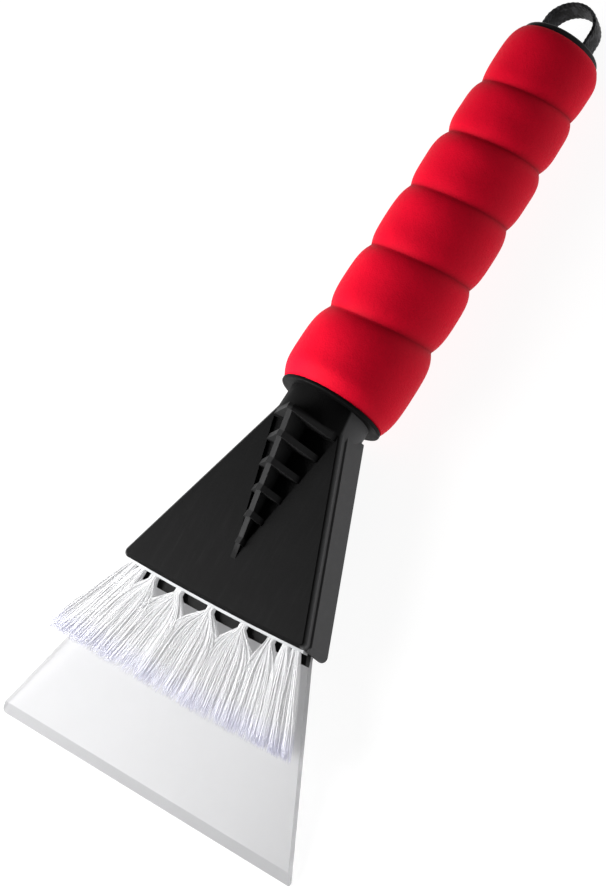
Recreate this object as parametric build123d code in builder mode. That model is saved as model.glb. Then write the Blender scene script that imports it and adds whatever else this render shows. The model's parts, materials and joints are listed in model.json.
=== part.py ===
from build123d import *
import os
from math import asin, atan2, cos, degrees, hypot, radians, sin, tan

# Windshield ice scraper, in millimetres. It lies on a flat surface, on its blade's edge and on the last
# lobe of its grip, with the ribbed deck up. X is to the right, Y runs from the blade to the hang loop,
# Z is up, and the origin is on the surface under the middle of the whole tool.
#
# A station is a distance along the grip's axis from the collar's back face, positive towards the blade.
# A height is square to that axis, positive on the deck's side.

# ---- driving dimensions ----

grip_length = 136.3
groove_stations = (28.7, 52.2, 75.3, 96.9, 117.0)
groove_radii = (17.2, 16.95, 16.7, 15.8, 15.6)
lobe_radii = (19.6, 18.65, 18.15, 17.75, 17.3, 16.6)
grip_blade_end_radius = 17.3
grip_loop_end_radius = 14.7

tube_radius = 12.7
tube_wall = 1.5
spigot_length = 28.0
spigot_bore_radius = 7.6
grip_pin_radius = 2.0
grip_pin_station = -14.0
slip_clearance = 0.1
foam_clearance = 0.05

collar_radius = 17.3
collar_thickness = 1.2
collar_round = 0.4

deck_station = 70.8
deck_height = -0.6
deck_pitch = radians(7.0)
deck_thickness = 2.4
deck_front_half_width = 36.6
deck_back_half_width = 12.0
deck_front_sag = 0.7
deck_corner_round = 1.8
deck_chamfer = 1.1
skirt_depth = 13.0
skirt_flare = 1.6
skirt_setback = -0.6
ledge_depth = 3.2
ledge_width = 0.7
wall = 1.4
neck_radius = 13.75
neck_back_station = 7.0

gusset_count = 6
first_gusset_station = 9.6
gusset_pitch = 8.0
gusset_thickness = 2.0
first_gusset_half_width = 11.6
crest_height = 19.8
crest_tip_station = 55.9
web_thickness = 1.8
pocket_depth = 1.2

backing_thickness = 3.0
backing_depth = 7.0
backing_reach = 0.8
lip_thickness = 2.6
lip_reach = 3.6
lip_depth = 22.0
seat_clearance = 0.2

blade_thickness = 3.0
blade_edge_half_width = 59.3
blade_clearance = 0.4
edge_station = 128.7
edge_drop = 27.5
edge_land = 0.5
bevel_width = 4.0
blade_corner_round = 1.0
tongue_length = 26.0
bend_setback = 2.0

screw_spacing = 18.0
screw_setback = 14.0
screw_radius = 1.5
screw_head_radius = 2.9
screw_head_height = 1.7
screw_tip_cover = 1.2
boss_radius = 3.6
screw_clearance = 0.15

tuft_roots = (-31.3, -28.4, -23.2, -12.7, 0.0, 12.7, 23.2, 28.4, 31.3)
tuft_root_width = 2.2
tuft_root_height = 2.0
tuft_tip_height = 3.4
tuft_slot_depth = 3.6
tuft_length = 30.5
tuft_spread = 1.4
tuft_lift = 1.6
tuft_gap = 0.3
tuft_clearance = 0.1
tip_curve = 1.4
staple_thickness = 0.5

cap_flange_radius = 13.4
cap_thickness = 2.8
cap_edge_round = 1.0
cap_shoulder_length = 7.0
cap_plug_length = 11.0
strap_width = 7.8
strap_thickness = 1.6
strap_inner_radius = 7.7
strap_stand = 15.7
strap_pivot_depth = 4.0
spool_flat = 3.4
strap_swing = radians(20.0)
strap_clearance = 0.45
loop_pin_radius = 1.5
running_clearance = 0.06
pin_cover = 0.4

# ---- how the tool lies ----

rest_station = -(groove_stations[-1] + grip_length) / 2
rest_pitch = atan2(edge_drop - lobe_radii[-1], edge_station - rest_station)
axis_lift = lobe_radii[-1] * cos(rest_pitch) - rest_station * sin(rest_pitch)
strap_outer_radius = strap_inner_radius + strap_thickness
loop_end_station = -(grip_length + cap_thickness + strap_stand)
blade_reach = edge_station * cos(rest_pitch) + edge_drop * sin(rest_pitch)
loop_reach = -loop_end_station * cos(rest_pitch) + strap_width / 2 * sin(rest_pitch)
axis_shift = (blade_reach - loop_reach) / 2


def tool_point(station, height):
    """Point on the tool's middle plane."""
    y = axis_shift - station * cos(rest_pitch) + height * sin(rest_pitch)
    z = axis_lift + station * sin(rest_pitch) + height * cos(rest_pitch)
    return Vector(0, y, z)


def flat_plane(station, height, pitch):
    """Plane along the tool, nose down by pitch: x to the right, y to the grip, z up."""
    slope = pitch - rest_pitch
    return Plane(origin=tool_point(station, height), x_dir=(1, 0, 0), z_dir=(0, -sin(slope), cos(slope)))


def cross_plane(station):
    """Plane square to the grip's axis: x to the right, y up, z to the blade."""
    forward = (0, -cos(rest_pitch), sin(rest_pitch))
    return Plane(origin=tool_point(station, 0), x_dir=(1, 0, 0), z_dir=forward)


grip_axis = Axis(tool_point(0, 0), cross_plane(0).z_dir)
side_plane = Plane(origin=tool_point(0, 0), x_dir=grip_axis.direction, z_dir=(-1, 0, 0))
deck = flat_plane(deck_station, deck_height, deck_pitch)
deck_up = Axis(deck.origin, deck.z_dir)

# ---- shared measures of the head ----

deck_back = (deck_station - neck_back_station) / cos(deck_pitch)
side_taper = (deck_front_half_width - deck_back_half_width) / (deck_back - deck_front_sag)
lip_top = deck_thickness + backing_thickness
tongue_top = lip_top + lip_thickness
tongue_bottom = tongue_top + blade_thickness
root_depth = (pocket_depth + deck_thickness) / 2
spigot_radius = tube_radius - tube_wall - slip_clearance
screw_points = [(x, screw_setback) for x in (-screw_spacing, 0, screw_spacing)]


def half_width(setback):
    """Deck's half width at a distance behind the middle of its front edge."""
    return deck_front_half_width - (setback - deck_front_sag) * side_taper


def deck_top(station):
    """Height of the deck's top at a station."""
    return deck_height + (deck_station - station) * tan(deck_pitch)


def under_deck(setback, depth):
    """Station and height of a point given from the deck's front edge."""
    station = deck_station - setback * cos(deck_pitch) - depth * sin(deck_pitch)
    return station, deck_height + setback * sin(deck_pitch) - depth * cos(deck_pitch)


def head_outline(front, back, grow):
    """Outline of a layer of the head: a bowed front edge, straight flared sides and a straight back."""
    corner = half_width(front + deck_front_sag) + grow
    rear = half_width(back) + grow
    with BuildSketch() as layer:
        with BuildLine():
            ThreePointArc((-corner, front + deck_front_sag), (0, front), (corner, front + deck_front_sag))
            Polyline(
                (corner, front + deck_front_sag),
                (rear, back),
                (-rear, back),
                (-corner, front + deck_front_sag),
            )
        make_face()
    return layer.sketch


deck_outline = head_outline(0, deck_back, 0)
ledge_outline = head_outline(0, deck_back, ledge_width)
skirt_outline = head_outline(skirt_setback, deck_back, skirt_flare)
recess_outline = head_outline(-deck_front_half_width, deck_back - neck_radius, -wall)
backing_outline = head_outline(-backing_reach, backing_depth, -wall - seat_clearance)
lip_outline = head_outline(-lip_reach, lip_depth, -wall - seat_clearance)

# ---- grip ----

with BuildPart() as handle_tube:
    with BuildSketch(cross_plane(-(grip_length - cap_shoulder_length))):
        Circle(tube_radius)
        Circle(tube_radius - tube_wall, mode=Mode.SUBTRACT)
    extrude(amount=grip_length - cap_shoulder_length)
    with BuildSketch(side_plane):
        with Locations((grip_pin_station, 0)):
            Circle(grip_pin_radius + running_clearance)
    extrude(amount=tube_radius, both=True, mode=Mode.SUBTRACT)

with BuildPart() as foam_grip:
    bore_radius = tube_radius + foam_clearance
    stations = (0,) + tuple(-station for station in groove_stations) + (-grip_length,)
    radii = (grip_blade_end_radius,) + groove_radii + (grip_loop_end_radius,)
    with BuildSketch(side_plane):
        with BuildLine():
            for lobe, crown in enumerate(lobe_radii):
                middle = (stations[lobe] + stations[lobe + 1]) / 2
                near_end = (stations[lobe], radii[lobe])
                far_end = (stations[lobe + 1], radii[lobe + 1])
                ThreePointArc(near_end, (middle, crown), far_end)
            Polyline(
                (-grip_length, radii[-1]),
                (-grip_length, bore_radius),
                (0, bore_radius),
                (0, radii[0]),
            )
        make_face()
    revolve(axis=grip_axis)

with BuildPart() as collar:
    with BuildSketch(cross_plane(0)):
        Circle(collar_radius)
        Circle(spigot_radius + slip_clearance, mode=Mode.SUBTRACT)
    extrude(amount=collar_thickness)
    fillet(collar.edges().filter_by(GeomType.CIRCLE).group_by(SortBy.RADIUS)[-1], radius=collar_round)

with BuildPart() as grip_pin:
    with BuildSketch(side_plane):
        with Locations((grip_pin_station, 0)):
            Circle(grip_pin_radius)
    extrude(amount=tube_radius - pin_cover, both=True)

# ---- head ----

with BuildPart() as neck_fairing:
    fairing_end = first_gusset_station + neck_radius
    with BuildSketch(side_plane):
        with BuildLine():
            Polyline(
                (first_gusset_station, 0),
                (first_gusset_station, neck_radius),
                (fairing_end, neck_radius / 2),
                (fairing_end, 0),
                close=True,
            )
        make_face()
    revolve(axis=grip_axis)
    split(bisect_by=deck.offset(-root_depth), keep=Keep.BOTTOM)

with BuildPart() as head_shell:
    # deck and skirt
    with BuildSketch(deck) as deck_face:
        add(deck_outline)
        fillet(deck_face.vertices().group_by(Axis.Y)[0], radius=deck_corner_round)
    extrude(amount=-ledge_depth)
    top_face = head_shell.faces().sort_by(deck_up)[-1]
    chamfer(top_face.edges().sort_by(SortBy.LENGTH)[-2:], length=deck_chamfer)
    with BuildSketch(deck.offset(-ledge_depth)) as ledge_face:
        add(ledge_outline)
        fillet(ledge_face.vertices().group_by(Axis.Y)[0], radius=deck_corner_round)
    with BuildSketch(deck.offset(-skirt_depth)) as skirt_face:
        add(skirt_outline)
        fillet(skirt_face.vertices().group_by(Axis.Y)[0], radius=deck_corner_round)
    loft(ruled=True)
    with BuildSketch(deck.offset(-deck_thickness)):
        add(recess_outline)
    extrude(amount=-skirt_depth, mode=Mode.SUBTRACT)
    # neck
    with BuildSketch(cross_plane(collar_thickness)):
        Circle(neck_radius)
    extrude(amount=first_gusset_station - collar_thickness)
    add(neck_fairing.part)
    # spine: a shallow pocket that holds one web and cross gussets that shrink towards its tip
    with BuildSketch(deck):
        pocket_front = deck_station - crest_tip_station
        pocket_back = deck_station - first_gusset_station - gusset_thickness
        with BuildLine():
            Polyline(
                (-first_gusset_half_width, pocket_back),
                (0, pocket_front),
                (first_gusset_half_width, pocket_back),
                close=True,
            )
        make_face()
    extrude(amount=-pocket_depth, mode=Mode.SUBTRACT)
    with BuildSketch(side_plane):
        root = first_gusset_station
        with BuildLine():
            Polyline(
                (root, deck_top(root) - root_depth),
                (root, crest_height),
                (crest_tip_station, deck_top(crest_tip_station)),
                (crest_tip_station, deck_top(crest_tip_station) - root_depth),
                close=True,
            )
        make_face()
    extrude(amount=web_thickness / 2, both=True)
    for index in range(gusset_count):
        station = first_gusset_station + index * gusset_pitch
        share = (crest_tip_station - station) / (crest_tip_station - first_gusset_station)
        base = deck_top(station)
        crest = deck_top(crest_tip_station) + share * (crest_height - deck_top(crest_tip_station))
        reach = first_gusset_half_width * share
        with BuildSketch(cross_plane(station)):
            with BuildLine():
                Polyline(
                    (-reach, base - root_depth),
                    (-reach, base + pocket_depth / 4),
                    (-web_thickness / 2, crest),
                    (web_thickness / 2, crest),
                    (reach, base + pocket_depth / 4),
                    (reach, base - root_depth),
                    close=True,
                )
            make_face()
        extrude(amount=gusset_thickness)
    # screw bosses and stiffening ribs under the deck
    with BuildSketch(deck.offset(-deck_thickness)):
        with Locations(*screw_points):
            Circle(boss_radius)
    extrude(amount=-backing_thickness)
    rib_length = deck_back - neck_radius - tongue_length - wall
    rib_middle = tongue_length + wall + rib_length / 2
    with BuildSketch(deck.offset(-deck_thickness / 2)):
        with Locations((-screw_spacing / 2, rib_middle), (screw_spacing / 2, rib_middle)):
            Rectangle(wall, rib_length)
    extrude(amount=-(skirt_depth - wall - deck_thickness / 2))
    with BuildSketch(deck.offset(-lip_top)):
        with Locations(*screw_points):
            Circle(screw_radius + running_clearance)
    extrude(amount=lip_top - screw_tip_cover, mode=Mode.SUBTRACT)
    # spigot
    with BuildSketch(cross_plane(collar_thickness)):
        Circle(spigot_radius)
    extrude(amount=-(spigot_length + collar_thickness))
    with BuildSketch(cross_plane(collar_thickness)):
        Circle(spigot_bore_radius)
    extrude(amount=-(spigot_length + collar_thickness), mode=Mode.SUBTRACT)
    with BuildSketch(side_plane):
        with Locations((grip_pin_station, 0)):
            Circle(grip_pin_radius + running_clearance)
    extrude(amount=tube_radius, both=True, mode=Mode.SUBTRACT)

# ---- brush ----

with BuildPart() as brush_backing:
    with BuildSketch(deck.offset(-deck_thickness)):
        add(backing_outline)
    extrude(amount=-backing_thickness)
    for root_x in tuft_roots:
        face_setback = deck_front_sag * (root_x / deck_front_half_width) ** 2 - backing_reach
        with BuildSketch(deck.offset(-deck_thickness - backing_thickness / 2)):
            with Locations((root_x, face_setback)):
                Rectangle(tuft_root_width + tuft_clearance, 2 * tuft_slot_depth)
        extrude(amount=(tuft_root_height + tuft_clearance) / 2, both=True, mode=Mode.SUBTRACT)


def tuft_plane(x, setback, lift):
    """Plane square to the deck's length at a tuft: x to the right, y up, z to the tips."""
    depth = deck_thickness + backing_thickness / 2 - lift
    origin = deck.from_local_coords(Vector(x, setback, -depth))
    return Plane(origin=origin, x_dir=(1, 0, 0), z_dir=-deck.y_dir)


tufts = []
edge_tip = tuft_spread * tuft_roots[-1] + (tuft_roots[-1] - tuft_roots[-2]) / 2 * tuft_spread
tip_bounds = [-edge_tip - tuft_root_width]
for left_root, right_root in zip(tuft_roots, tuft_roots[1:]):
    tip_bounds.append(tuft_spread * (left_root + right_root) / 2)
tip_bounds.append(edge_tip + tuft_root_width)

for number, root_x in enumerate(tuft_roots):
    tip_left = tip_bounds[number] + tuft_gap / 2
    tip_right = tip_bounds[number + 1] - tuft_gap / 2
    bow = (root_x / deck_front_half_width) ** 2
    face_setback = deck_front_sag * bow - backing_reach
    tip_setback = tip_curve * bow - tuft_length - backing_reach
    root_plane = tuft_plane(root_x, face_setback - deck_front_sag / 4, 0)
    with BuildPart() as tuft:
        with BuildSketch(root_plane):
            Rectangle(tuft_root_width, tuft_root_height)
        with BuildSketch(tuft_plane((tip_left + tip_right) / 2, tip_setback, tuft_lift)):
            Rectangle(tip_right - tip_left, tuft_tip_height)
        loft()
        with BuildSketch(root_plane):
            Rectangle(tuft_root_width, tuft_root_height)
        extrude(amount=-(tuft_slot_depth - staple_thickness - tuft_clearance))
    tufts.append(tuft)

with BuildPart() as tuft_staples:
    for root_x in tuft_roots:
        face_setback = deck_front_sag * (root_x / deck_front_half_width) ** 2 - backing_reach
        with BuildSketch(tuft_plane(root_x, face_setback + tuft_slot_depth, 0)):
            Rectangle(tuft_root_width - tuft_clearance, tuft_root_height - tuft_clearance)
        extrude(amount=staple_thickness)

with BuildPart() as lower_lip:
    with BuildSketch(deck.offset(-lip_top)):
        add(lip_outline)
        with Locations(*screw_points):
            Circle(screw_radius + screw_clearance, mode=Mode.SUBTRACT)
    extrude(amount=-lip_thickness)

# ---- blade ----

bend_top = Vector(*under_deck(bend_setback, tongue_top))
edge_tip_point = Vector(edge_station, -edge_drop)
run = edge_tip_point.X - bend_top.X
fall = bend_top.Y - edge_tip_point.Y
blade_pitch = atan2(fall, run) - asin(blade_thickness / hypot(run, fall))
blade_along = Vector(cos(blade_pitch), -sin(blade_pitch))
blade_up = Vector(sin(blade_pitch), cos(blade_pitch))
half_bend = (blade_pitch - deck_pitch) / 2
bend_line = Vector(sin(deck_pitch + half_bend), cos(deck_pitch + half_bend)) / cos(half_bend)
bend_bottom = bend_top - bend_line * blade_thickness
bevel_top = edge_tip_point - blade_along * bevel_width + blade_up * blade_thickness
land_top = edge_tip_point + blade_up * edge_land

blade_mouth_half_width = deck_front_half_width - wall - blade_clearance
blade_back_half_width = half_width(tongue_length + wall) - wall - blade_clearance
blade_mouth = edge_station - deck_station
blade_back = edge_station - under_deck(tongue_length + wall, tongue_bottom)[0]

with BuildPart() as blade:
    with BuildSketch(side_plane):
        with BuildLine():
            Polyline(
                under_deck(tongue_length, tongue_top),
                bend_top,
                bevel_top,
                land_top,
                edge_tip_point,
                bend_bottom,
                under_deck(tongue_length, tongue_bottom),
                close=True,
            )
        make_face()
    extrude(amount=blade_edge_half_width, both=True)
    with BuildSketch(flat_plane(edge_station, 0, 0)) as blade_face:
        with BuildLine():
            Polyline(
                (-blade_edge_half_width, 0),
                (blade_edge_half_width, 0),
                (blade_mouth_half_width, blade_mouth),
                (blade_back_half_width, blade_back),
                (-blade_back_half_width, blade_back),
                (-blade_mouth_half_width, blade_mouth),
                close=True,
            )
        make_face()
        fillet(blade_face.vertices(), radius=blade_corner_round)
    extrude(amount=2 * edge_drop, both=True, mode=Mode.INTERSECT)
    with BuildSketch(deck.offset(-tongue_top)):
        with Locations(*screw_points):
            Circle(screw_radius + screw_clearance)
    extrude(amount=-2 * blade_thickness, mode=Mode.SUBTRACT)

with BuildPart() as blade_screws:
    with BuildSketch(deck.offset(-tongue_bottom)):
        with Locations(*screw_points):
            Circle(screw_radius)
    extrude(amount=tongue_bottom - 2 * screw_tip_cover)
    with BuildSketch(deck.offset(-tongue_bottom)):
        with Locations(*screw_points):
            Circle(screw_head_radius)
    extrude(amount=-screw_head_height)

# ---- end cap and hang loop ----

pivot_station = -(grip_length + cap_thickness - strap_pivot_depth)
loop_plane = flat_plane(pivot_station, 0, 0)
pocket_radius = strap_outer_radius + strap_clearance
pocket_side = pocket_radius * cos(strap_swing)
pocket_lead = -pocket_radius * sin(strap_swing)
mouth_half_width = pocket_radius / cos(strap_swing) + strap_pivot_depth * tan(strap_swing)

with BuildPart() as end_cap:
    with BuildSketch(cross_plane(-grip_length)):
        Circle(cap_flange_radius)
    extrude(amount=-cap_thickness)
    rim = end_cap.faces().sort_by(grip_axis)[0].edges()
    fillet(rim, radius=cap_edge_round)
    with BuildSketch(cross_plane(-grip_length)):
        Circle(tube_radius)
    extrude(amount=cap_shoulder_length)
    with BuildSketch(cross_plane(-(grip_length - cap_shoulder_length))):
        Circle(spigot_radius)
    extrude(amount=cap_plug_length)
    with BuildSketch(loop_plane):
        Circle(pocket_radius)
        with BuildLine():
            Polyline(
                (-pocket_side, pocket_lead),
                (pocket_side, pocket_lead),
                (mouth_half_width, strap_pivot_depth),
                (mouth_half_width, strap_pivot_depth + cap_thickness),
                (-mouth_half_width, strap_pivot_depth + cap_thickness),
                (-mouth_half_width, strap_pivot_depth),
                close=True,
            )
        make_face()
    extrude(amount=strap_width / 2 + strap_clearance, both=True, mode=Mode.SUBTRACT)
    with BuildSketch(loop_plane):
        Circle(loop_pin_radius + running_clearance)
    extrude(amount=tube_radius, both=True, mode=Mode.SUBTRACT)

with BuildPart() as loop_pin:
    with BuildSketch(loop_plane):
        Circle(loop_pin_radius)
    extrude(amount=tube_radius - pin_cover, both=True)

with BuildPart() as loop_spool:
    with BuildSketch(loop_plane):
        Circle(strap_inner_radius - running_clearance)
        with Locations((0, spool_flat)):
            Rectangle(
                4 * strap_inner_radius,
                4 * strap_inner_radius,
                align=(Align.CENTER, Align.MIN),
                mode=Mode.SUBTRACT,
            )
        Circle(loop_pin_radius + running_clearance, mode=Mode.SUBTRACT)
    extrude(amount=strap_width / 2, both=True)

with BuildPart() as hang_loop:
    strap_straight = pivot_station - loop_end_station - strap_outer_radius
    with BuildSketch(loop_plane):
        with Locations((0, strap_straight / 2)):
            SlotCenterToCenter(strap_straight, 2 * strap_outer_radius, rotation=90)
            SlotCenterToCenter(strap_straight, 2 * strap_inner_radius, rotation=90, mode=Mode.SUBTRACT)
    extrude(amount=strap_width / 2, both=True)

# ---- export ----

os.makedirs("parts", exist_ok=True)

handle_tube.part.label = "handle_tube"
export_step(handle_tube.part, "parts/handle_tube.step")
foam_grip.part.label = "foam_grip"
export_step(foam_grip.part, "parts/foam_grip.step")
collar.part.label = "collar"
export_step(collar.part, "parts/collar.step")
grip_pin.part.label = "grip_pin"
export_step(grip_pin.part, "parts/grip_pin.step")
head_shell.part.label = "head_shell"
export_step(head_shell.part, "parts/head_shell.step")
brush_backing.part.label = "brush_backing"
export_step(brush_backing.part, "parts/brush_backing.step")
for number, tuft in enumerate(tufts, start=1):
    tuft.part.label = f"tuft_{number}"
    export_step(tuft.part, f"parts/tuft_{number}.step")
tuft_staples.part.label = "tuft_staples"
export_step(tuft_staples.part, "parts/tuft_staples.step")
lower_lip.part.label = "lower_lip"
export_step(lower_lip.part, "parts/lower_lip.step")
blade.part.label = "blade"
export_step(blade.part, "parts/blade.step")
blade_screws.part.label = "blade_screws"
export_step(blade_screws.part, "parts/blade_screws.step")
end_cap.part.label = "end_cap"
export_step(end_cap.part, "parts/end_cap.step")
loop_pin.part.label = "loop_pin"
export_step(loop_pin.part, "parts/loop_pin.step")
loop_spool.part.label = "loop_spool"
export_step(loop_spool.part, "parts/loop_spool.step")
hang_loop.part.label = "hang_loop"
export_step(hang_loop.part, "parts/hang_loop.step")
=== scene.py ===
import json

import bpy
import numpy as np
from mathutils import Matrix, Vector


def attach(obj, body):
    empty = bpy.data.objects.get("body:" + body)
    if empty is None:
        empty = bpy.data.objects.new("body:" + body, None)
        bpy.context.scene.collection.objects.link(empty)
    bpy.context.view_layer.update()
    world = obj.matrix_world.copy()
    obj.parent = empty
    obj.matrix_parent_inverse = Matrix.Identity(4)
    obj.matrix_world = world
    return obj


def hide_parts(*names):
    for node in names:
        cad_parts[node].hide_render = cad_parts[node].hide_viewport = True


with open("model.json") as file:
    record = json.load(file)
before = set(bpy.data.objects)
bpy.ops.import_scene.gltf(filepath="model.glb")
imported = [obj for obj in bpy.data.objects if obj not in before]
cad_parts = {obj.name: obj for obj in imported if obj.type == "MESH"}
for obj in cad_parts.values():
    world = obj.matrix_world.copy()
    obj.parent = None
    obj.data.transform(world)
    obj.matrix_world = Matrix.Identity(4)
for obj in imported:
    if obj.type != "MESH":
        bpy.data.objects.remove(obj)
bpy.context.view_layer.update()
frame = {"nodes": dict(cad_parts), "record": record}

bl_info = {
    "name": "Windshield Ice Scraper",
    "version": (1, 0, 0),
    "blender": (4, 5, 0),
    "location": "3D View > Sidebar > Scraper",
    "description": "Foam grip, bristles, webbing loop, finishes and studio for a hand ice scraper",
    "category": "Object",
}

# ---- where things are ----
# A station is a distance along the grip's axis from the collar's back face, positive towards the blade.
# A height is square to that axis, positive on the ribbed deck's side. Places are in metres, and a length
# that isn't yet multiplied by MM is in millimetres.

MM = 0.001
HINGE = frame["record"]["behaviour"]["joints"][0]
GRIP_LENGTH = 136.3
CAP_THICKNESS = 2.8
HINGE_DEPTH = 4.0
HINGE_STATION = -(GRIP_LENGTH + CAP_THICKNESS - HINGE_DEPTH) * MM
RIGHT = np.array((1.0, 0.0, 0.0))
UP = np.array(HINGE["axis"], dtype=float)
FORWARD = np.cross(RIGHT, UP)
AXIS_START = np.array(HINGE["pos_m"], dtype=float) - FORWARD * HINGE_STATION

DECK_STATION = 70.8 * MM
DECK_HEIGHT = -0.6 * MM
DECK_PITCH = np.radians(7.0)
DECK_BACK = -FORWARD * np.cos(DECK_PITCH) + UP * np.sin(DECK_PITCH)
DECK_DOWN = -UP * np.cos(DECK_PITCH) - FORWARD * np.sin(DECK_PITCH)
DECK_START = AXIS_START + FORWARD * DECK_STATION + UP * DECK_HEIGHT

# The foam from the collar to the end cap: how far each groove is from the collar, and its radii.
GROOVE_STATIONS = (28.7, 52.2, 75.3, 96.9, 117.0)
GROOVE_RADII = (17.0, 16.75, 16.5, 15.6, 15.4)
LOBE_RADII = (19.6, 18.65, 18.15, 17.7, 17.1, 16.3)
FOAM_END_RADII = (17.2, 14.6)
FOAM_BORE_RADIUS = 12.75
GROOVE_ROUNDING = 0.06
# How narrowly the painted shade hugs each groove's bottom.
GROOVE_SHADE_SHARPNESS = 11
# The grooves' lean and a faint ripple fade out towards the collar, the cap and the bore.
COLLAR_FADE = 14.0
CAP_FADE = 10.0
BORE_FADE = 2.0
RIPPLE_HEIGHT = 0.048
RIPPLE_DEPTH = 0.05
RIPPLE_RATES = (310.0, 190.0)

TUFT_ROOTS = (-31.3, -28.4, -23.2, -12.7, 0.0, 12.7, 23.2, 28.4, 31.3)
TUFT_DEPTH = 3.9
TUFT_LENGTH = 31.3
TUFT_SPREAD = 1.4
TUFT_ROOT_WIDTH = 1.9
TUFT_ROOT_SETBACK = 1.6
TUFT_LIFT = 1.6
TIP_CURVE = 1.4
SIDE_TIP = 48.6
SIDE_LIMIT = 49.0
LONGEST_SHORTFALL = 4.0
INNER_OVERLAP = 2.2
OUTER_OVERLAP = 0.6
# From the outermost tuft to the middle one: the share of a filament that stays in a narrow stem, and how
# much of the fan opens straight after that stem.
STEM_SHARES = (0.0, 0.06, 0.13, 0.13, 0.13)
FAN_HASTES = (0.0, 0.35, 0.6, 0.7, 0.7)
FAN_OPENING = 0.4
# How the filaments of a tuft differ: sideways, in setback, in depth, in length, in bow and in crimp.
ROOT_SCATTER = 0.12
TIP_SCATTER = 0.5
SETBACK_SCATTER = 0.4
ROOT_LAYERS = 0.8
TIP_LAYERS = 1.5
TIP_DEPTH_SCATTER = 0.18
SHORTFALL_SHAPE = 1.6
SHORTFALL_SCALE = 0.55
SIDE_BOW = 0.35
DEPTH_BOW = 0.22
CRIMP = 0.11
CRIMP_TURNS = (14.0, 24.0)
# A filament's points crowd towards its root, and its ends are this share of its girth.
POINT_CROWDING = 1.5
END_GIRTH = 0.02
FIRST_SEED = 3

DECK_HALF_WIDTH = 36.6
DECK_SAG = 0.7
SIDE_TAPER = 0.387
# The head's painted light changes between each pair of distances: a painted highlight at what rises above
# the deck, stopping at the neck behind it, and painted light on the flanks, sunk under its top and at its
# sides.
RAISED_DEPTHS = (-1.6 * MM, -0.4 * MM)
SUNK_DEPTHS = (0.25 * MM, 1.0 * MM)
NECK_SETBACKS = (61.6 * MM, 62.4 * MM)
FLANK_DISTANCES = (0.94 * DECK_HALF_WIDTH * MM, 0.96 * DECK_HALF_WIDTH * MM)

LOOP_RADIUS = 8.5
LOOP_STRAIGHT = 10.4
YARNS = 6.0
FACE_BLUNTNESS = 0.32
EDGE_BLUNTNESS = 0.55
EDGE_SCALLOP = 0.035
WEAVE_RELIEF = 0.2

# The camera aims at a point beside the axis and along it, in millimetres. A light has a direction, and a
# distance and a size in metres.
HEAD_MIDDLE_STATION = 30.0
AIM_SIDE = -0.975
AIM_ALONG = 14.86
KEY_LIGHT = ((-0.62, -0.57, 0.66), 0.29, 0.22)
FILL_LIGHT = ((-0.1, -0.3, 1.0), 1.3, 1.2)
FLOOR_HALF_WIDTH = 4.0
FLOOR_COLOUR = (0.12, 0.12, 0.12, 1.0)


def tool_places(x, station, height):
    """Places at x to the right, a station along the grip's axis and a height above it, all in metres."""
    x, station, height = np.broadcast_arrays(x, station, height)
    return AXIS_START + x[..., None] * RIGHT + station[..., None] * FORWARD + height[..., None] * UP


def deck_places(x, setback, depth):
    """Places at x, a distance behind the middle of the deck's front edge and a depth under its top."""
    x, setback, depth = np.broadcast_arrays(x, setback, depth)
    return DECK_START + x[..., None] * RIGHT + setback[..., None] * DECK_BACK + depth[..., None] * DECK_DOWN


# ---- meshes ----


def grid_faces(rows, columns, closed_rows=False, closed_columns=False):
    """Corner numbers of every cell of a grid: cell (i, j) joins points i and i+1 with j and j+1."""
    row = np.arange(rows if closed_rows else rows - 1)[:, None]
    column = np.arange(columns if closed_columns else columns - 1)[None, :]
    next_row = (row + 1) % rows
    next_column = (column + 1) % columns
    corners = (
        row * columns + column,
        next_row * columns + column,
        next_row * columns + next_column,
        row * columns + next_column,
    )
    return np.stack(np.broadcast_arrays(*corners), axis=-1).reshape(-1, 4)


def outward(places, faces):
    """Faces turned so that the closed surface's volume, summed over its corners, is positive."""
    a, b, c, d = (places[faces[:, corner]] for corner in range(4))
    volume = np.einsum("ij,ij->", a, np.cross(b, c)) + np.einsum("ij,ij->", a, np.cross(c, d))
    return faces if volume > 0 else faces[:, ::-1]


def add_piece(name, places, faces, body, finish, nodes, values=None):
    """Makes a smooth closed piece with its point attributes, and says what it rides on and replaces."""
    places = places.reshape(-1, 3)
    mesh = bpy.data.meshes.new(name)
    mesh.from_pydata(places, [], outward(places, faces).tolist())
    mesh.polygons.foreach_set("use_smooth", np.ones(len(mesh.polygons), dtype=bool))
    for label, numbers in (values or {}).items():
        layer = mesh.attributes.new(label, "FLOAT", "POINT")
        layer.data.foreach_set("value", np.ascontiguousarray(numbers, dtype=np.float32).ravel())
    mesh.materials.append(finish)
    mesh.update()
    piece = bpy.data.objects.new(name, mesh)
    bpy.context.scene.collection.objects.link(piece)
    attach(piece, body)
    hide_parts(*nodes)
    return piece


def paint_nodes(finish, *names):
    """Gives CAD nodes a finish."""
    for name in names:
        mesh = frame["nodes"][name].data
        mesh.materials.clear()
        mesh.materials.append(finish)


# ---- material nodes ----


def add_node(tree, kind, settings=None, **inputs):
    """Adds a node. Each input is a value or another node's socket, by socket name with _ for a space."""
    made = tree.nodes.new(kind)
    for name, value in (settings or {}).items():
        setattr(made, name, value)
    for name, value in inputs.items():
        socket = made.inputs[name.replace("_", " ")]
        if isinstance(value, bpy.types.NodeSocket):
            tree.links.new(value, socket)
        else:
            socket.default_value = value
    return made


def new_finish(name, **constants):
    """New material: its node tree, its shader with these constant sockets, and the object's coordinates."""
    material = bpy.data.materials.new(name)
    material.use_nodes = True
    tree = material.node_tree
    shader = tree.nodes["Principled BSDF"]
    for socket, value in constants.items():
        shader.inputs[socket.replace("_", " ")].default_value = value
    place = tree.nodes.new("ShaderNodeTexCoord").outputs["Object"]
    return material, tree, shader, place


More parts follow.
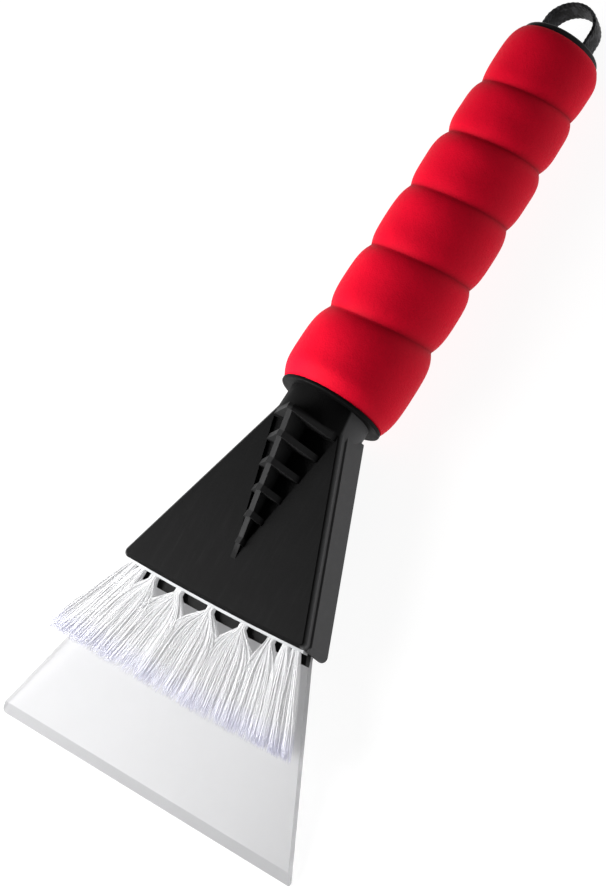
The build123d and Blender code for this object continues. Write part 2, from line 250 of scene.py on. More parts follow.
def noise(tree, place, scale, detail=3.0, roughness=0.5):
    """Soft random values from 0 to 1, in patches of about 1 / scale metres."""
    grain = {"Scale": scale, "Detail": detail, "Roughness": roughness}
    return add_node(tree, "ShaderNodeTexNoise", Vector=place, **grain).outputs["Fac"]


def stretched(tree, place, factors):
    """Coordinates multiplied per axis."""
    made = add_node(tree, "ShaderNodeMapping", Vector=place)
    made.inputs["Scale"].default_value = factors
    return made.outputs["Vector"]


def remap(tree, value, low, high, from_low=0.0, from_high=1.0):
    """Value moved from one range to another, and held inside it."""
    made = add_node(tree, "ShaderNodeMapRange", Value=value, To_Min=low, To_Max=high)
    made.inputs["From Min"].default_value = from_low
    made.inputs["From Max"].default_value = from_high
    return made.outputs["Result"]


def mix_colours(tree, factor, first, second):
    """Colour that goes from first to second as factor goes from 0 to 1."""
    made = add_node(tree, "ShaderNodeMix", {"data_type": "RGBA"})
    for socket, value in zip((made.inputs[0], made.inputs[6], made.inputs[7]), (factor, first, second)):
        if isinstance(value, bpy.types.NodeSocket):
            tree.links.new(value, socket)
        else:
            socket.default_value = value
    return made.outputs[2]


def add_bump(tree, shader, *layers):
    """Raises the surface by each (height, distance in metres) layer in turn."""
    normal = None
    for height, distance in layers:
        made = add_node(tree, "ShaderNodeBump", Height=height, Distance=distance)
        if normal is not None:
            tree.links.new(normal, made.inputs["Normal"])
        normal = made.outputs["Normal"]
    tree.links.new(normal, shader.inputs["Normal"])


def attribute(tree, name):
    """Value of a point attribute."""
    return add_node(tree, "ShaderNodeAttribute", {"attribute_name": name}).outputs["Fac"]


def shade(colour, factor):
    """Colour made lighter or darker, with alpha 1."""
    return (*(min(1.0, channel * factor) for channel in colour[:3]), 1.0)


# ---- finishes ----


def foam_finish(colour):
    """Closed-cell foam: matt, with a fine cell grain, faint clouds of colour and painted shade darkening the
    grooves.
    """
    material, tree, shader, place = new_finish("grip foam")
    shader.inputs["Specular IOR Level"].default_value = 0.06
    clouds = noise(tree, place, 45.0, 4.0)
    speckle = noise(tree, place, 1900.0, 2.0)
    cloudy = remap(tree, clouds, 0.0, 1.0, 0.3, 0.7)
    body = mix_colours(tree, cloudy, shade(colour, 0.9), shade(colour, 1.06))
    body = mix_colours(tree, remap(tree, speckle, 0.0, 0.28, 0.45, 0.75), body, shade(colour, 0.62))
    # Painted shade: the groove mask darkens the foam to half its colour at each groove's bottom.
    body = mix_colours(tree, attribute(tree, "groove_shade"), body, shade(colour, 0.5))
    tree.links.new(body, shader.inputs["Base Color"])
    tree.links.new(remap(tree, clouds, 0.55, 0.7), shader.inputs["Roughness"])
    cells = add_node(tree, "ShaderNodeTexVoronoi", Vector=place, Scale=2300.0).outputs["Distance"]
    puckers = noise(tree, place, 260.0, 3.0)
    add_bump(tree, shader, (puckers, 0.00012), (cells, 0.00005))
    return material


def moulded_finish(name, colour, roughness, grain):
    """Moulded plastic: an even spark-eroded grain, faint cloudiness and rubbed streaks along the tool."""
    material, tree, shader, place = new_finish(name, IOR=1.46)
    shader.inputs["Specular IOR Level"].default_value = 0.1
    clouds = noise(tree, place, 70.0, 5.0)
    streaks = noise(tree, stretched(tree, place, (900.0, 60.0, 300.0)), 1.0, 4.0)
    cloudy = remap(tree, clouds, 0.0, 1.0, 0.35, 0.7)
    tone = mix_colours(tree, cloudy, shade(colour, 0.85), shade(colour, 1.15))
    tone = mix_colours(tree, remap(tree, streaks, 0.0, 0.4, 0.62, 0.8), tone, shade(colour, 1.9))
    tree.links.new(tone, shader.inputs["Base Color"])
    rubbed = remap(tree, streaks, roughness, roughness - 0.12, 0.5, 0.8)
    tree.links.new(rubbed, shader.inputs["Roughness"])
    pits = noise(tree, place, 2600.0, 2.0)
    add_bump(tree, shader, (clouds, 0.00008), (pits, grain))
    return material


def deck_distance(tree, place, direction):
    """Distance of a point from the middle of the deck's front edge along a direction, in metres."""
    offset = add_node(tree, "ShaderNodeVectorMath", {"operation": "SUBTRACT"})
    tree.links.new(place, offset.inputs[0])
    offset.inputs[1].default_value = DECK_START
    along = add_node(tree, "ShaderNodeVectorMath", {"operation": "DOT_PRODUCT"})
    tree.links.new(offset.outputs["Vector"], along.inputs[0])
    along.inputs[1].default_value = direction
    return along.outputs["Value"]


def both(tree, first, second):
    """Product of two masks."""
    made = add_node(tree, "ShaderNodeMath", {"operation": "MULTIPLY"})
    tree.links.new(first, made.inputs[0])
    tree.links.new(second, made.inputs[1])
    return made.outputs["Value"]


def side_distance(tree, place):
    """Distance to either side plus the taper over the distance back: the same all along a deck's side."""
    sideways = add_node(tree, "ShaderNodeMath", {"operation": "ABSOLUTE"})
    tree.links.new(deck_distance(tree, place, RIGHT), sideways.inputs[0])
    line = add_node(tree, "ShaderNodeMath", {"operation": "MULTIPLY_ADD"})
    tree.links.new(deck_distance(tree, place, DECK_BACK), line.inputs[0])
    line.inputs[1].default_value = SIDE_TAPER
    tree.links.new(sideways.outputs["Value"], line.inputs[2])
    return line.outputs["Value"]


def head_finish(colour, flank_light_colour):
    """Moulded plastic: the deck is dull and dark, the chamfers and flanks carry painted light and the
    gussets a painted highlight.
    """
    material = moulded_finish("head plastic", colour, 0.62, 0.00003)
    tree = material.node_tree
    shader = tree.nodes["Principled BSDF"]
    dull = shader.inputs["Base Color"].links[0].from_socket
    place = tree.nodes["Texture Coordinate"].outputs["Object"]
    depth = deck_distance(tree, place, DECK_DOWN)
    # Painted highlight on the gussets' tops: what rises above the deck, up to the neck, turns paler, to a
    # quarter of the flank's painted light colour.
    raised_highlight = remap(tree, depth, 1.0, 0.0, *RAISED_DEPTHS)
    before_neck = remap(tree, deck_distance(tree, place, DECK_BACK), 1.0, 0.0, *NECK_SETBACKS)
    # Painted light on the flanks and chamfers: where the head is sunk under the deck's top and beside it, it
    # takes the flank's painted light colour.
    sunk = remap(tree, depth, 0.0, 1.0, *SUNK_DEPTHS)
    beside = remap(tree, side_distance(tree, place), 0.0, 1.0, *FLANK_DISTANCES)
    tone = mix_colours(tree, both(tree, raised_highlight, before_neck), dull, shade(flank_light_colour, 0.25))
    tone = mix_colours(tree, both(tree, sunk, beside), tone, flank_light_colour)
    tree.links.new(tone, shader.inputs["Base Color"])
    return material


def clear_blade_finish(colour):
    """Clear plastic sheet: faintly frosted by use, with fine scratches square to its edge."""
    material, tree, shader, place = new_finish("clear blade", Transmission_Weight=0.72, IOR=1.4)
    shader.inputs["Specular IOR Level"].default_value = 0.12
    haze = noise(tree, place, 90.0, 5.0)
    scratches = noise(tree, stretched(tree, place, (2400.0, 40.0, 40.0)), 1.0, 3.0)
    body = mix_colours(tree, remap(tree, haze, 0.0, 1.0, 0.35, 0.7), shade(colour, 0.97), colour)
    tree.links.new(body, shader.inputs["Base Color"])
    tree.links.new(remap(tree, haze, 0.3, 0.45), shader.inputs["Roughness"])
    add_bump(tree, shader, (haze, 0.00006), (remap(tree, scratches, 0.0, 1.0, 0.6, 0.8), 0.00001))
    return material


def bristle_finish(colour, tip_colour):
    """Drawn filament: clear and slightly cloudy, with a cool tint that gathers towards the cut tips, and a
    faint painted glow standing in for light scattered through it.
    """
    material, tree, shader, place = new_finish("bristle filament", Transmission_Weight=0.5, IOR=1.45)
    # Painted glow: the filaments give off a little light, standing in for light scattered through them.
    shader.inputs["Emission Strength"].default_value = 0.08
    shader.inputs["Coat Weight"].default_value = 0.3
    shader.inputs["Coat Roughness"].default_value = 0.12
    along = attribute(tree, "along")
    shade_of_one = attribute(tree, "cloudiness")
    body = mix_colours(tree, shade_of_one, colour, shade(colour, 0.8))
    body = mix_colours(tree, remap(tree, along, 0.0, 0.9, 0.72, 1.0), body, tip_colour)
    tree.links.new(body, shader.inputs["Base Color"])
    # The painted glow takes the filament's own colour.
    tree.links.new(body, shader.inputs["Emission Color"])
    drawn = noise(tree, stretched(tree, place, (3000.0, 120.0, 3000.0)), 1.0, 2.0)
    tree.links.new(remap(tree, drawn, 0.12, 0.34), shader.inputs["Roughness"])
    add_bump(tree, shader, (drawn, 0.00002))
    return material


def steel_finish():
    """Bright zinc plate: cloudy grey metal with fine turning marks."""
    material, tree, shader, place = new_finish("zinc plate", Metallic=1.0)
    clouds = noise(tree, place, 400.0, 4.0)
    body = mix_colours(tree, clouds, (0.42, 0.42, 0.43, 1.0), (0.72, 0.72, 0.73, 1.0))
    tree.links.new(body, shader.inputs["Base Color"])
    tree.links.new(remap(tree, clouds, 0.25, 0.45), shader.inputs["Roughness"])
    add_bump(tree, shader, (noise(tree, place, 2500.0, 2.0), 0.00001))
    return material


def webbing_finish(colour):
    """Woven tape: dark yarns, paler at their crowns and with painted shade in the gaps between them, with
    stray light fibres and pale patches that are partly wear and partly painted highlights.
    """
    material, tree, shader, place = new_finish("webbing", Sheen_Weight=0.35, Sheen_Roughness=0.4)
    shader.inputs["Specular IOR Level"].default_value = 0.25
    crown = attribute(tree, "crown")
    fibres = noise(tree, stretched(tree, place, (5200.0, 5200.0, 900.0)), 1.0, 3.0)
    # Pale patches, partly wear and partly painted highlights; the same noise roughens the worn parts.
    wear_and_highlights = noise(tree, place, 330.0, 4.0)
    # Painted shade: the crown mask darkens the yarn to a quarter of its colour in the gaps between yarns and
    # picks, and lightens it on their crowns.
    body = mix_colours(tree, crown, shade(colour, 0.25), shade(colour, 1.2))
    # Partly wear, partly painted highlights: the patches lighten the yarn sevenfold.
    body = mix_colours(tree, remap(tree, wear_and_highlights, 0.0, 0.8, 0.48, 0.62), body, shade(colour, 7.0))
    body = mix_colours(tree, remap(tree, fibres, 0.0, 0.4, 0.58, 0.75), body, shade(colour, 9.0))
    tree.links.new(body, shader.inputs["Base Color"])
    tree.links.new(remap(tree, wear_and_highlights, 0.62, 0.85), shader.inputs["Roughness"])
    add_bump(tree, shader, (fibres, 0.00006))
    return material


def floor_finish(colour, glow):
    """Plain pale paper sweep that also gives off a little light, so that it stays even."""
    material, tree, shader, place = new_finish("paper sweep", Roughness=0.9)
    body = mix_colours(tree, noise(tree, place, 3.0, 2.0), shade(colour, 0.995), colour)
    tree.links.new(body, shader.inputs["Base Color"])
    shader.inputs["Emission Color"].default_value = (1.0, 1.0, 1.0, 1.0)
    shader.inputs["Emission Strength"].default_value = glow
    return material


# ---- shapes ----


def foam_surface(slant, fullness, turns=168, steps=60, face_steps=5, bore_steps=22):
    """Foam tube with lobes.

    Between two grooves the radius rises from the groove by s * s * (1 + r) / (s + r) of the lobe's height,
    where s = 1 - |2t - 1| ^ fullness, t runs from groove to groove and r rounds the groove's bottom.
    The groove planes lean: a point's station moves by slant times its height, fading out at both ends.
    The outline closes through both end faces and the bore, and is carried round the axis.
    """
    ends = np.array((0.0, *GROOVE_STATIONS, GRIP_LENGTH)) * -MM
    rims = np.array((FOAM_END_RADII[0], *GROOVE_RADII, FOAM_END_RADII[1])) * MM
    share = (np.arange(steps) / steps)[None, :]
    start, finish = ends[:-1, None], ends[1:, None]
    base = rims[:-1, None] + (rims[1:, None] - rims[:-1, None]) * share
    swell = 1.0 - np.abs(2.0 * share - 1.0) ** fullness
    swell = swell**2 / (swell + GROOVE_ROUNDING) * (1.0 + GROOVE_ROUNDING)
    crowns = np.array(LOBE_RADII)[:, None] * MM
    radius = (base + (crowns - base) * swell).ravel()
    station = (start + (finish - start) * share).ravel()
    # The groove shade mask, for the painted shade in the grooves: 1 at each groove's bottom, 0 in the lobes'
    # halves at the collar and the cap, on the end faces and in the bore.
    groove_shade = (np.abs(2.0 * share - 1.0) ** GROOVE_SHADE_SHARPNESS * np.ones_like(base)).ravel()
    groove_shade[: steps // 2] = 0.0
    groove_shade[-steps // 2:] = 0.0
    face = np.linspace(0.0, 1.0, face_steps)
    bore = FOAM_BORE_RADIUS * MM
    back = np.linspace(ends[-1], ends[0], bore_steps + 2)[1:-1]
    station = np.concatenate((station, np.full(face_steps, ends[-1]), back, np.full(face_steps, ends[0])))
    loop_face = rims[-1] + (bore - rims[-1]) * face
    collar_face = bore + (rims[0] - bore) * face
    radius = np.concatenate((radius, loop_face, np.full(bore_steps, bore), collar_face))
    groove_shade = np.concatenate((groove_shade, np.zeros(2 * face_steps + bore_steps)))
    turn = np.linspace(0.0, 2.0 * np.pi, turns, endpoint=False)[:, None]
    outer = np.clip((radius - bore) / (BORE_FADE * MM), 0.0, 1.0)
    from_collar = np.clip(-station / (COLLAR_FADE * MM), 0.0, 1.0)
    from_cap = np.clip((station - ends[-1]) / (CAP_FADE * MM), 0.0, 1.0)
    fade = from_collar * from_cap
    fade = fade * fade * (3.0 - 2.0 * fade) * outer
    fast, slow = RIPPLE_RATES
    ripple = RIPPLE_HEIGHT * MM * np.sin(3.0 * turn + station * fast) * np.sin(station * slow + turn)
    rough_radius = radius + (ripple - RIPPLE_DEPTH * MM) * fade
    height = rough_radius * np.sin(turn)
    lean = slant * height * fade
    places = tool_places(rough_radius * np.cos(turn), station + lean, height)
    return places, np.broadcast_to(groove_shade, height.shape)


def webbing_surface(width, thickness, picks=46, around=40, along=736):
    """Endless woven band.

    The path is two straights joined by two half circles, around the hinge's axis and around the apex.
    The cross-section is a rounded bar; its faces rise and fall as sine crowns that alternate from yarn to
    yarn across the width and from pick to pick along the path.
    """
    bend = np.pi * LOOP_RADIUS * MM
    straight = LOOP_STRAIGHT * MM
    length = 2.0 * (bend + straight)
    run = np.linspace(0.0, length, along, endpoint=False)
    far = np.clip((run - straight) / bend, 0.0, 1.0) * np.pi
    near = np.clip((run - 2.0 * straight - bend) / bend, 0.0, 1.0) * np.pi
    angle = far + near
    back = np.clip(run, 0.0, straight) - np.clip(run - straight - bend, 0.0, straight)
    outwards = np.stack((np.cos(angle), np.sin(angle)), axis=-1)
    turned = 2.0 * np.pi * np.arange(around) / around
    flat = np.sign(np.cos(turned)) * np.abs(np.cos(turned)) ** FACE_BLUNTNESS * thickness / 2.0
    across = np.sign(np.sin(turned)) * np.abs(np.sin(turned)) ** EDGE_BLUNTNESS * width / 2.0
    yarn = across / width * YARNS
    weave = np.sin(np.pi * picks * 2.0 * run[:, None] / length + np.pi * np.round(yarn)[None, :])
    furrow = np.cos(np.pi * yarn)[None, :] ** 2
    crown = (0.5 + 0.5 * weave) * furrow
    scallop = 1.0 - EDGE_SCALLOP * (0.5 + 0.5 * np.cos(2.0 * np.pi * picks * run / length))[:, None]
    depth = flat[None, :] * (1.0 - WEAVE_RELIEF + WEAVE_RELIEF * crown)
    reach = LOOP_RADIUS * MM + depth
    places = tool_places(
        reach * outwards[:, :1],
        HINGE_STATION - back[:, None] - reach * outwards[:, 1:],
        across[None, :] * scallop,
    )
    return places, crown


def filament_paths(generator, number, count, steps):
    """Centre lines of one tuft's filaments.

    Each runs from a point in the tuft's root to a point in its fan. Sideways it keeps to a narrow stem and
    then opens by a parabola u * (2 - u). Another parabola bows it, and a sine wave that fades out at the
    root crimps it.
    """
    root = TUFT_ROOTS[number]
    middles = [TUFT_SPREAD * (a + b) / 2 for a, b in zip(TUFT_ROOTS, TUFT_ROOTS[1:])]
    bounds = (-SIDE_TIP, *middles, SIDE_TIP)
    bow = (root / DECK_HALF_WIDTH) ** 2
    last = len(TUFT_ROOTS) - 1
    from_side = min(number, last - number)
    overlap = INNER_OVERLAP if from_side else OUTER_OVERLAP
    low = bounds[number] - (overlap if number > 0 else 0.0)
    high = bounds[number + 1] + (overlap if number < last else 0.0)
    place = np.sort(generator.random(count))
    layer = generator.uniform(-1.0, 1.0, count)
    start_x = root + (place - 0.5) * TUFT_ROOT_WIDTH + generator.normal(0.0, ROOT_SCATTER, count)
    end_x = low + (high - low) * place + generator.normal(0.0, TIP_SCATTER, count)
    end_x = np.clip(end_x, -SIDE_LIMIT, SIDE_LIMIT)
    scatter = generator.uniform(-SETBACK_SCATTER, SETBACK_SCATTER, count)
    start_back = DECK_SAG * bow + TUFT_ROOT_SETBACK + scatter
    shortfall = np.minimum(generator.gamma(SHORTFALL_SHAPE, SHORTFALL_SCALE, count), LONGEST_SHORTFALL)
    end_back = TIP_CURVE * bow - TUFT_LENGTH + shortfall
    start_depth = TUFT_DEPTH + layer * ROOT_LAYERS
    end_depth = TUFT_DEPTH - TUFT_LIFT + layer * TIP_LAYERS + generator.normal(0.0, TIP_DEPTH_SCATTER, count)
    share = np.linspace(0.0, 1.0, steps)[None, :] ** POINT_CROWDING
    hump = 4.0 * share * (1.0 - share)
    haste = FAN_HASTES[from_side]
    stem = STEM_SHARES[from_side]
    course = np.clip((share - stem) / (1.0 - stem), 0.0, 1.0)
    opened = np.clip(course / FAN_OPENING, 0.0, 1.0)
    fan = (1.0 - haste) * course + haste * opened * (2.0 - opened)
    middle = (low + high) / 2.0
    crimp_turn = generator.uniform(0.0, 2.0 * np.pi, (count, 1))
    crimp = CRIMP * np.sin(share * generator.uniform(*CRIMP_TURNS, (count, 1)) + crimp_turn) * share

    def between(start, end, progress=share):
        return start[:, None] + (end - start)[:, None] * progress

    x = between(start_x, end_x, fan) + (middle - root) * (course - fan)
    x = x + hump * generator.normal(0.0, SIDE_BOW, (count, 1)) + crimp
    setback = between(start_back, end_back)
    depth_bow = hump * generator.normal(0.0, DEPTH_BOW, (count, 1))
    depth = between(start_depth, end_depth) + depth_bow + crimp * 0.5
    return deck_places(x * MM, setback * MM, depth * MM), share


def filament_surface(paths, share, radius, sides=5):
    """Tubes round the paths: each point carries a ring of sides points, and both ends are almost pointed."""
    count, steps, _ = paths.shape
    turn = 2.0 * np.pi * np.arange(sides) / sides
    ring = np.cos(turn)[:, None] * RIGHT + np.sin(turn)[:, None] * DECK_DOWN
    girth = radius * np.ones(steps)
    girth[0] = END_GIRTH * radius
    girth[-1] = END_GIRTH * radius
    places = paths[:, :, None, :] + girth[None, :, None, None] * ring[None, None]
    one = grid_faces(steps, sides, closed_columns=True)
    shift = (np.arange(count) * steps * sides)[:, None, None]
    faces = (one[None] + shift).reshape(-1, 4)
    along = np.broadcast_to(share[:, :, None], (count, steps, sides))
    return places, faces, along


# ---- settings ----


class ScraperGripSettings(bpy.types.PropertyGroup):
    colour: bpy.props.FloatVectorProperty(
        name="Foam colour", description="Colour of the foam grip", subtype="COLOR", size=4,
        min=0.0, max=1.0, default=(0.84, 0.0035, 0.027, 1.0),
    )
    slant: bpy.props.FloatProperty(
        name="Groove lean", description="How far the groove planes lean, as a slope", default=0.25,
    )
    fullness: bpy.props.FloatProperty(
        name="Fullness", description="How blunt the lobes are: higher is fuller", default=3.6,
        min=1.5, max=6.0,
    )


class ScraperBrushSettings(bpy.types.PropertyGroup):
    filaments: bpy.props.IntProperty(
        name="Filaments", description="Filaments in each tuft", default=180, min=10, max=400,
    )
    radius: bpy.props.FloatProperty(
        name="Filament radius", description="Half the thickness of a filament", default=0.18 * MM,
        unit="LENGTH", precision=5,
    )
    colour: bpy.props.FloatVectorProperty(
        name="Filament colour", description="Colour of the filaments", subtype="COLOR", size=4,
        min=0.0, max=1.0, default=(0.97, 0.972, 0.98, 1.0),
    )
    tip_colour: bpy.props.FloatVectorProperty(
        name="Tip colour", description="Colour that gathers towards the cut tips", subtype="COLOR", size=4,
        min=0.0, max=1.0, default=(0.86, 0.86, 0.97, 1.0),
    )


class ScraperLoopSettings(bpy.types.PropertyGroup):
    width: bpy.props.FloatProperty(
        name="Webbing width", description="Width of the webbing", default=7.7 * MM, unit="LENGTH",
        precision=4,
    )
    thickness: bpy.props.FloatProperty(
        name="Webbing thickness", description="Thickness of the webbing", default=1.58 * MM, unit="LENGTH",
        precision=4,
    )
    colour: bpy.props.FloatVectorProperty(
        name="Webbing colour", description="Colour of the yarn", subtype="COLOR", size=4, min=0.0, max=1.0,
        default=(0.009, 0.009, 0.01, 1.0),
    )


class ScraperHeadSettings(bpy.types.PropertyGroup):
    colour: bpy.props.FloatVectorProperty(
        name="Head colour", description="Colour of the head's plastic", subtype="COLOR", size=4,
        min=0.0, max=1.0, default=(0.003, 0.003, 0.0031, 1.0),
    )
    # Painted light: the colour the head's flanks and chamfers take for light falling on them; the gussets'
    # tops take a quarter of it as a painted highlight.
    flank_light_colour: bpy.props.FloatVectorProperty(
        name="Flank colour", description="Colour of the head's rubbed flanks", subtype="COLOR", size=4,
        min=0.0, max=1.0, default=(0.1, 0.1, 0.102, 1.0),
    )
    trim_colour: bpy.props.FloatVectorProperty(
        name="Trim colour", description="Colour of the collar and the end cap", subtype="COLOR", size=4,
        min=0.0, max=1.0, default=(0.003, 0.003, 0.0031, 1.0),
    )
    strip_colour: bpy.props.FloatVectorProperty(
        name="Backing colour", description="Colour of the brush's backing strip", subtype="COLOR", size=4,
        min=0.0, max=1.0, default=(0.55, 0.56, 0.57, 1.0),
    )
    blade_colour: bpy.props.FloatVectorProperty(
        name="Blade colour", description="Colour of the clear blade", subtype="COLOR", size=4,
        min=0.0, max=1.0, default=(0.55, 0.55, 0.56, 1.0),
    )


class ScraperStageSettings(bpy.types.PropertyGroup):
    camera_turn: bpy.props.FloatProperty(
        name="Camera turn", description="How far the camera stands round the grip's axis from above",
        default=np.radians(32.0), subtype="ANGLE", unit="ROTATION",
    )
    camera_tilt: bpy.props.FloatProperty(
        name="Camera tilt", description="How far the camera stands towards the blade",
        default=np.radians(12.0), subtype="ANGLE", unit="ROTATION",
    )
    camera_roll: bpy.props.FloatProperty(
        name="Camera roll", description="Angle of the grip's axis from upright in the view",
        default=np.radians(32.61), subtype="ANGLE", unit="ROTATION",
    )
    camera_distance: bpy.props.FloatProperty(
        name="Camera distance", description="Distance from the camera to the grip's axis", default=0.64,
        unit="LENGTH",
    )
    lens: bpy.props.FloatProperty(
        name="Lens", description="Focal length for a sensor 36 mm high", default=84.85,
        subtype="DISTANCE_CAMERA", unit="CAMERA",
    )
    key_power: bpy.props.FloatProperty(
        name="Key light", description="Power of the main soft light", default=1.85, unit="POWER",
    )
    fill_power: bpy.props.FloatProperty(
        name="Fill light", description="Power of the overhead soft light", default=0.7, unit="POWER",
    )
    world_light: bpy.props.FloatProperty(
        name="Room light", description="Strength of the even light from all round", default=0.14,
    )
    floor_glow: bpy.props.FloatProperty(
        name="Floor glow", description="Light given off by the paper sweep", default=0.93,
    )


class ScraperSettings(bpy.types.PropertyGroup):
    grip: bpy.props.PointerProperty(type=ScraperGripSettings)
    brush: bpy.props.PointerProperty(type=ScraperBrushSettings)
    loop: bpy.props.PointerProperty(type=ScraperLoopSettings)
    head: bpy.props.PointerProperty(type=ScraperHeadSettings)
    stage: bpy.props.PointerProperty(type=ScraperStageSettings)


# ---- operators ----


class SCRAPER_OT_foam_grip(bpy.types.Operator):
    """Makes the lobed foam grip"""

    bl_idname = "ice_scraper.foam_grip"
    bl_label = "Foam grip"

    def execute(self, context):
        grip = context.scene.ice_scraper.grip
        places, groove_shade = foam_surface(grip.slant, grip.fullness)
        faces = grid_faces(*groove_shade.shape, closed_rows=True, closed_columns=True)
        finish = foam_finish(tuple(grip.colour))
        # The groove shade mask rides on the foam for the painted shade in its grooves.
        values = {"groove_shade": groove_shade}
        piece = add_piece("grip_foam", places, faces, "tool", finish, ["foam_grip"], values)
        return {"FINISHED"}


class SCRAPER_OT_bristles(bpy.types.Operator):
    """Makes the nine tufts of filaments"""

    bl_idname = "ice_scraper.bristles"
    bl_label = "Bristles"

    def execute(self, context):
        brush = context.scene.ice_scraper.brush
        finish = bristle_finish(tuple(brush.colour), tuple(brush.tip_colour))
        for number in range(len(TUFT_ROOTS)):
            generator = np.random.default_rng(number + FIRST_SEED)
            paths, share = filament_paths(generator, number, brush.filaments, 13)
            places, faces, along = filament_surface(paths, share, brush.radius)
            cloudiness = np.broadcast_to(
                (generator.random(brush.filaments) ** 3)[:, None, None], along.shape
            )
            values = {"along": along, "cloudiness": cloudiness}
            node = f"tuft_{number + 1}"
            add_piece(f"filaments_{number + 1}", places, faces, "tool", finish, [node], values)
        return {"FINISHED"}


class SCRAPER_OT_hang_loop(bpy.types.Operator):
    """Makes the woven hang loop"""

    bl_idname = "ice_scraper.hang_loop"
    bl_label = "Hang loop"

    def execute(self, context):
        loop = context.scene.ice_scraper.loop
        places, crown = webbing_surface(loop.width, loop.thickness)
        faces = grid_faces(*crown.shape, closed_rows=True, closed_columns=True)
        finish = webbing_finish(tuple(loop.colour))
        add_piece("webbing_loop", places, faces, "loop", finish, ["hang_loop"], {"crown": crown})
        return {"FINISHED"}


class SCRAPER_OT_moulded_parts(bpy.types.Operator):
    """Finishes the moulded plastic parts"""

    bl_idname = "ice_scraper.moulded_parts"
    bl_label = "Moulded parts"

    def execute(self, context):
        head = context.scene.ice_scraper.head
        black = head_finish(tuple(head.colour), tuple(head.flank_light_colour))
        lip = moulded_finish("lip plastic", tuple(head.colour), 0.45, 0.00002)
        trim = moulded_finish("trim plastic", tuple(head.trim_colour), 0.6, 0.00001)
        tube = moulded_finish("tube plastic", tuple(head.trim_colour), 0.35, 0.00001)
        strip = moulded_finish("backing plastic", tuple(head.strip_colour), 0.35, 0.00001)
        cap = moulded_finish("cap plastic", shade(head.trim_colour, 9.0), 0.42, 0.00001)
        paint_nodes(black, "head_shell")
        paint_nodes(lip, "lower_lip")
        paint_nodes(trim, "collar")
        paint_nodes(cap, "end_cap", "loop_spool")
        paint_nodes(tube, "handle_tube")
        paint_nodes(strip, "brush_backing")
        return {"FINISHED"}


class SCRAPER_OT_blade(bpy.types.Operator):
    """Finishes the clear blade"""

    bl_idname = "ice_scraper.blade"
    bl_label = "Clear blade"

    def execute(self, context):
        head = context.scene.ice_scraper.head
        paint_nodes(clear_blade_finish(tuple(head.blade_colour)), "blade")
        return {"FINISHED"}


class SCRAPER_OT_metal_parts(bpy.types.Operator):
    """Finishes the pins, screws and staples"""

    bl_idname = "ice_scraper.metal_parts"
    bl_label = "Metal parts"

    def execute(self, context):
        paint_nodes(steel_finish(), "grip_pin", "loop_pin", "blade_screws", "tuft_staples")
        return {"FINISHED"}


def add_soft_light(name, direction, distance, size, power, aim):
    """Square soft light at a distance from the aim point, facing it."""
    lamp = bpy.data.lights.new(name, "AREA")
    lamp.shape = "SQUARE"
    lamp.size = size
    lamp.energy = power
    light = bpy.data.objects.new(name, lamp)
    bpy.context.scene.collection.objects.link(light)
    towards = Vector(direction).normalized()
    light.location = Vector(aim) + towards * distance
    light.rotation_euler = towards.to_track_quat("Z", "Y").to_euler()


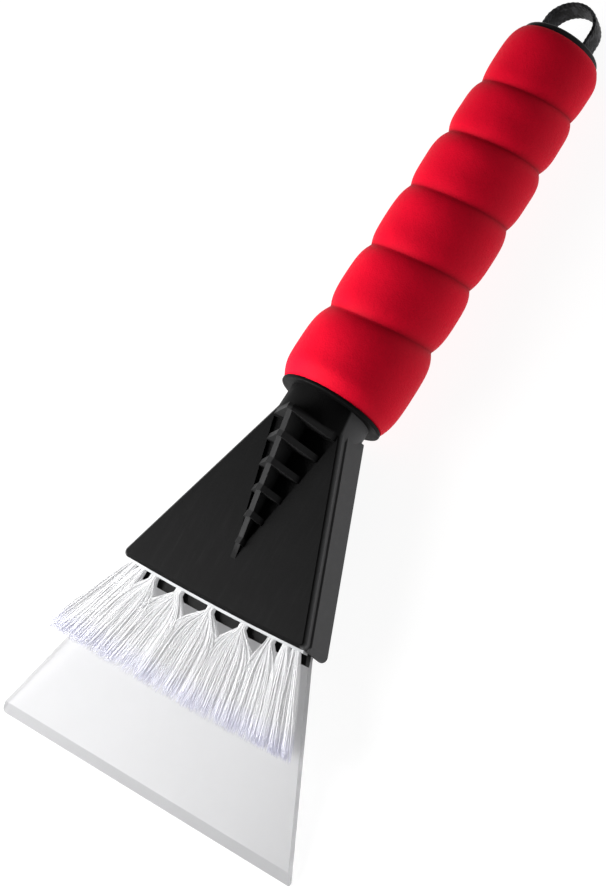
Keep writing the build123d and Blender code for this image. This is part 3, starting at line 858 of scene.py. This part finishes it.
class SCRAPER_OT_stage(bpy.types.Operator):
    """Sets up the paper sweep, the lights and the camera"""

    bl_idname = "ice_scraper.stage"
    bl_label = "Stage"

    def execute(self, context):
        stage = context.scene.ice_scraper.stage
        scene = context.scene
        span = FLOOR_HALF_WIDTH
        corners = [(-span, -span, 0.0), (span, -span, 0.0), (span, span, 0.0), (-span, span, 0.0)]
        mesh = bpy.data.meshes.new("floor")
        mesh.from_pydata(corners, [], [(0, 1, 2, 3)])
        mesh.materials.append(floor_finish(FLOOR_COLOUR, stage.floor_glow))
        floor = bpy.data.objects.new("floor", mesh)
        scene.collection.objects.link(floor)

        world = bpy.data.worlds.new("room")
        world.use_nodes = True
        backdrop = world.node_tree.nodes["Background"]
        backdrop.inputs["Color"].default_value = (1.0, 1.0, 1.0, 1.0)
        backdrop.inputs["Strength"].default_value = stage.world_light
        scene.world = world
        scene.view_settings.view_transform = "Standard"
        head_middle = tool_places(0.0, HEAD_MIDDLE_STATION * MM, 0.0)
        add_soft_light("key", *KEY_LIGHT, stage.key_power, head_middle)
        add_soft_light("fill", *FILL_LIGHT, stage.fill_power, head_middle)

        around, towards_blade = stage.camera_turn, stage.camera_tilt
        out = RIGHT * np.sin(around) + UP * np.cos(around)
        side = RIGHT * np.cos(around) - UP * np.sin(around)
        back = out * np.cos(towards_blade) + FORWARD * np.sin(towards_blade)
        along = FORWARD * np.cos(towards_blade) - out * np.sin(towards_blade)
        aim = AXIS_START + side * AIM_SIDE * MM + along * AIM_ALONG * MM
        right = side * np.cos(stage.camera_roll) - along * np.sin(stage.camera_roll)
        above = np.cross(back, right)
        turn = Matrix(np.stack((right, above, back), axis=-1).tolist()).to_4x4()
        lens = bpy.data.cameras.new("camera")
        lens.sensor_fit = "VERTICAL"
        lens.sensor_height = 36.0
        lens.lens = stage.lens
        camera = bpy.data.objects.new("camera", lens)
        camera.matrix_world = Matrix.Translation(Vector(aim + back * stage.camera_distance)) @ turn
        scene.collection.objects.link(camera)
        scene.camera = camera
        return {"FINISHED"}


class SCRAPER_PT_panel(bpy.types.Panel):
    bl_idname = "SCRAPER_PT_panel"
    bl_label = "Ice scraper"
    bl_space_type = "VIEW_3D"
    bl_region_type = "UI"
    bl_category = "Scraper"

    def draw(self, context):
        for operator in OPERATORS:
            self.layout.operator(operator.bl_idname)
        for group in ("grip", "brush", "loop", "head", "stage"):
            settings = getattr(context.scene.ice_scraper, group)
            box = self.layout.box()
            for name in settings.__annotations__:
                box.prop(settings, name)


OPERATORS = (
    SCRAPER_OT_foam_grip,
    SCRAPER_OT_bristles,
    SCRAPER_OT_hang_loop,
    SCRAPER_OT_moulded_parts,
    SCRAPER_OT_blade,
    SCRAPER_OT_metal_parts,
    SCRAPER_OT_stage,
)
CLASSES = (
    ScraperGripSettings,
    ScraperBrushSettings,
    ScraperLoopSettings,
    ScraperHeadSettings,
    ScraperStageSettings,
    ScraperSettings,
    *OPERATORS,
    SCRAPER_PT_panel,
)


def register():
    for cls in CLASSES:
        bpy.utils.register_class(cls)
    bpy.types.Scene.ice_scraper = bpy.props.PointerProperty(type=ScraperSettings)


def unregister():
    del bpy.types.Scene.ice_scraper
    for cls in reversed(CLASSES):
        bpy.utils.unregister_class(cls)


def main():
    register()
    bpy.ops.ice_scraper.foam_grip()
    bpy.ops.ice_scraper.bristles()
    bpy.ops.ice_scraper.hang_loop()
    bpy.ops.ice_scraper.moulded_parts()
    bpy.ops.ice_scraper.blade()
    bpy.ops.ice_scraper.metal_parts()
    bpy.ops.ice_scraper.stage()


if __name__ == "__main__":
    main()
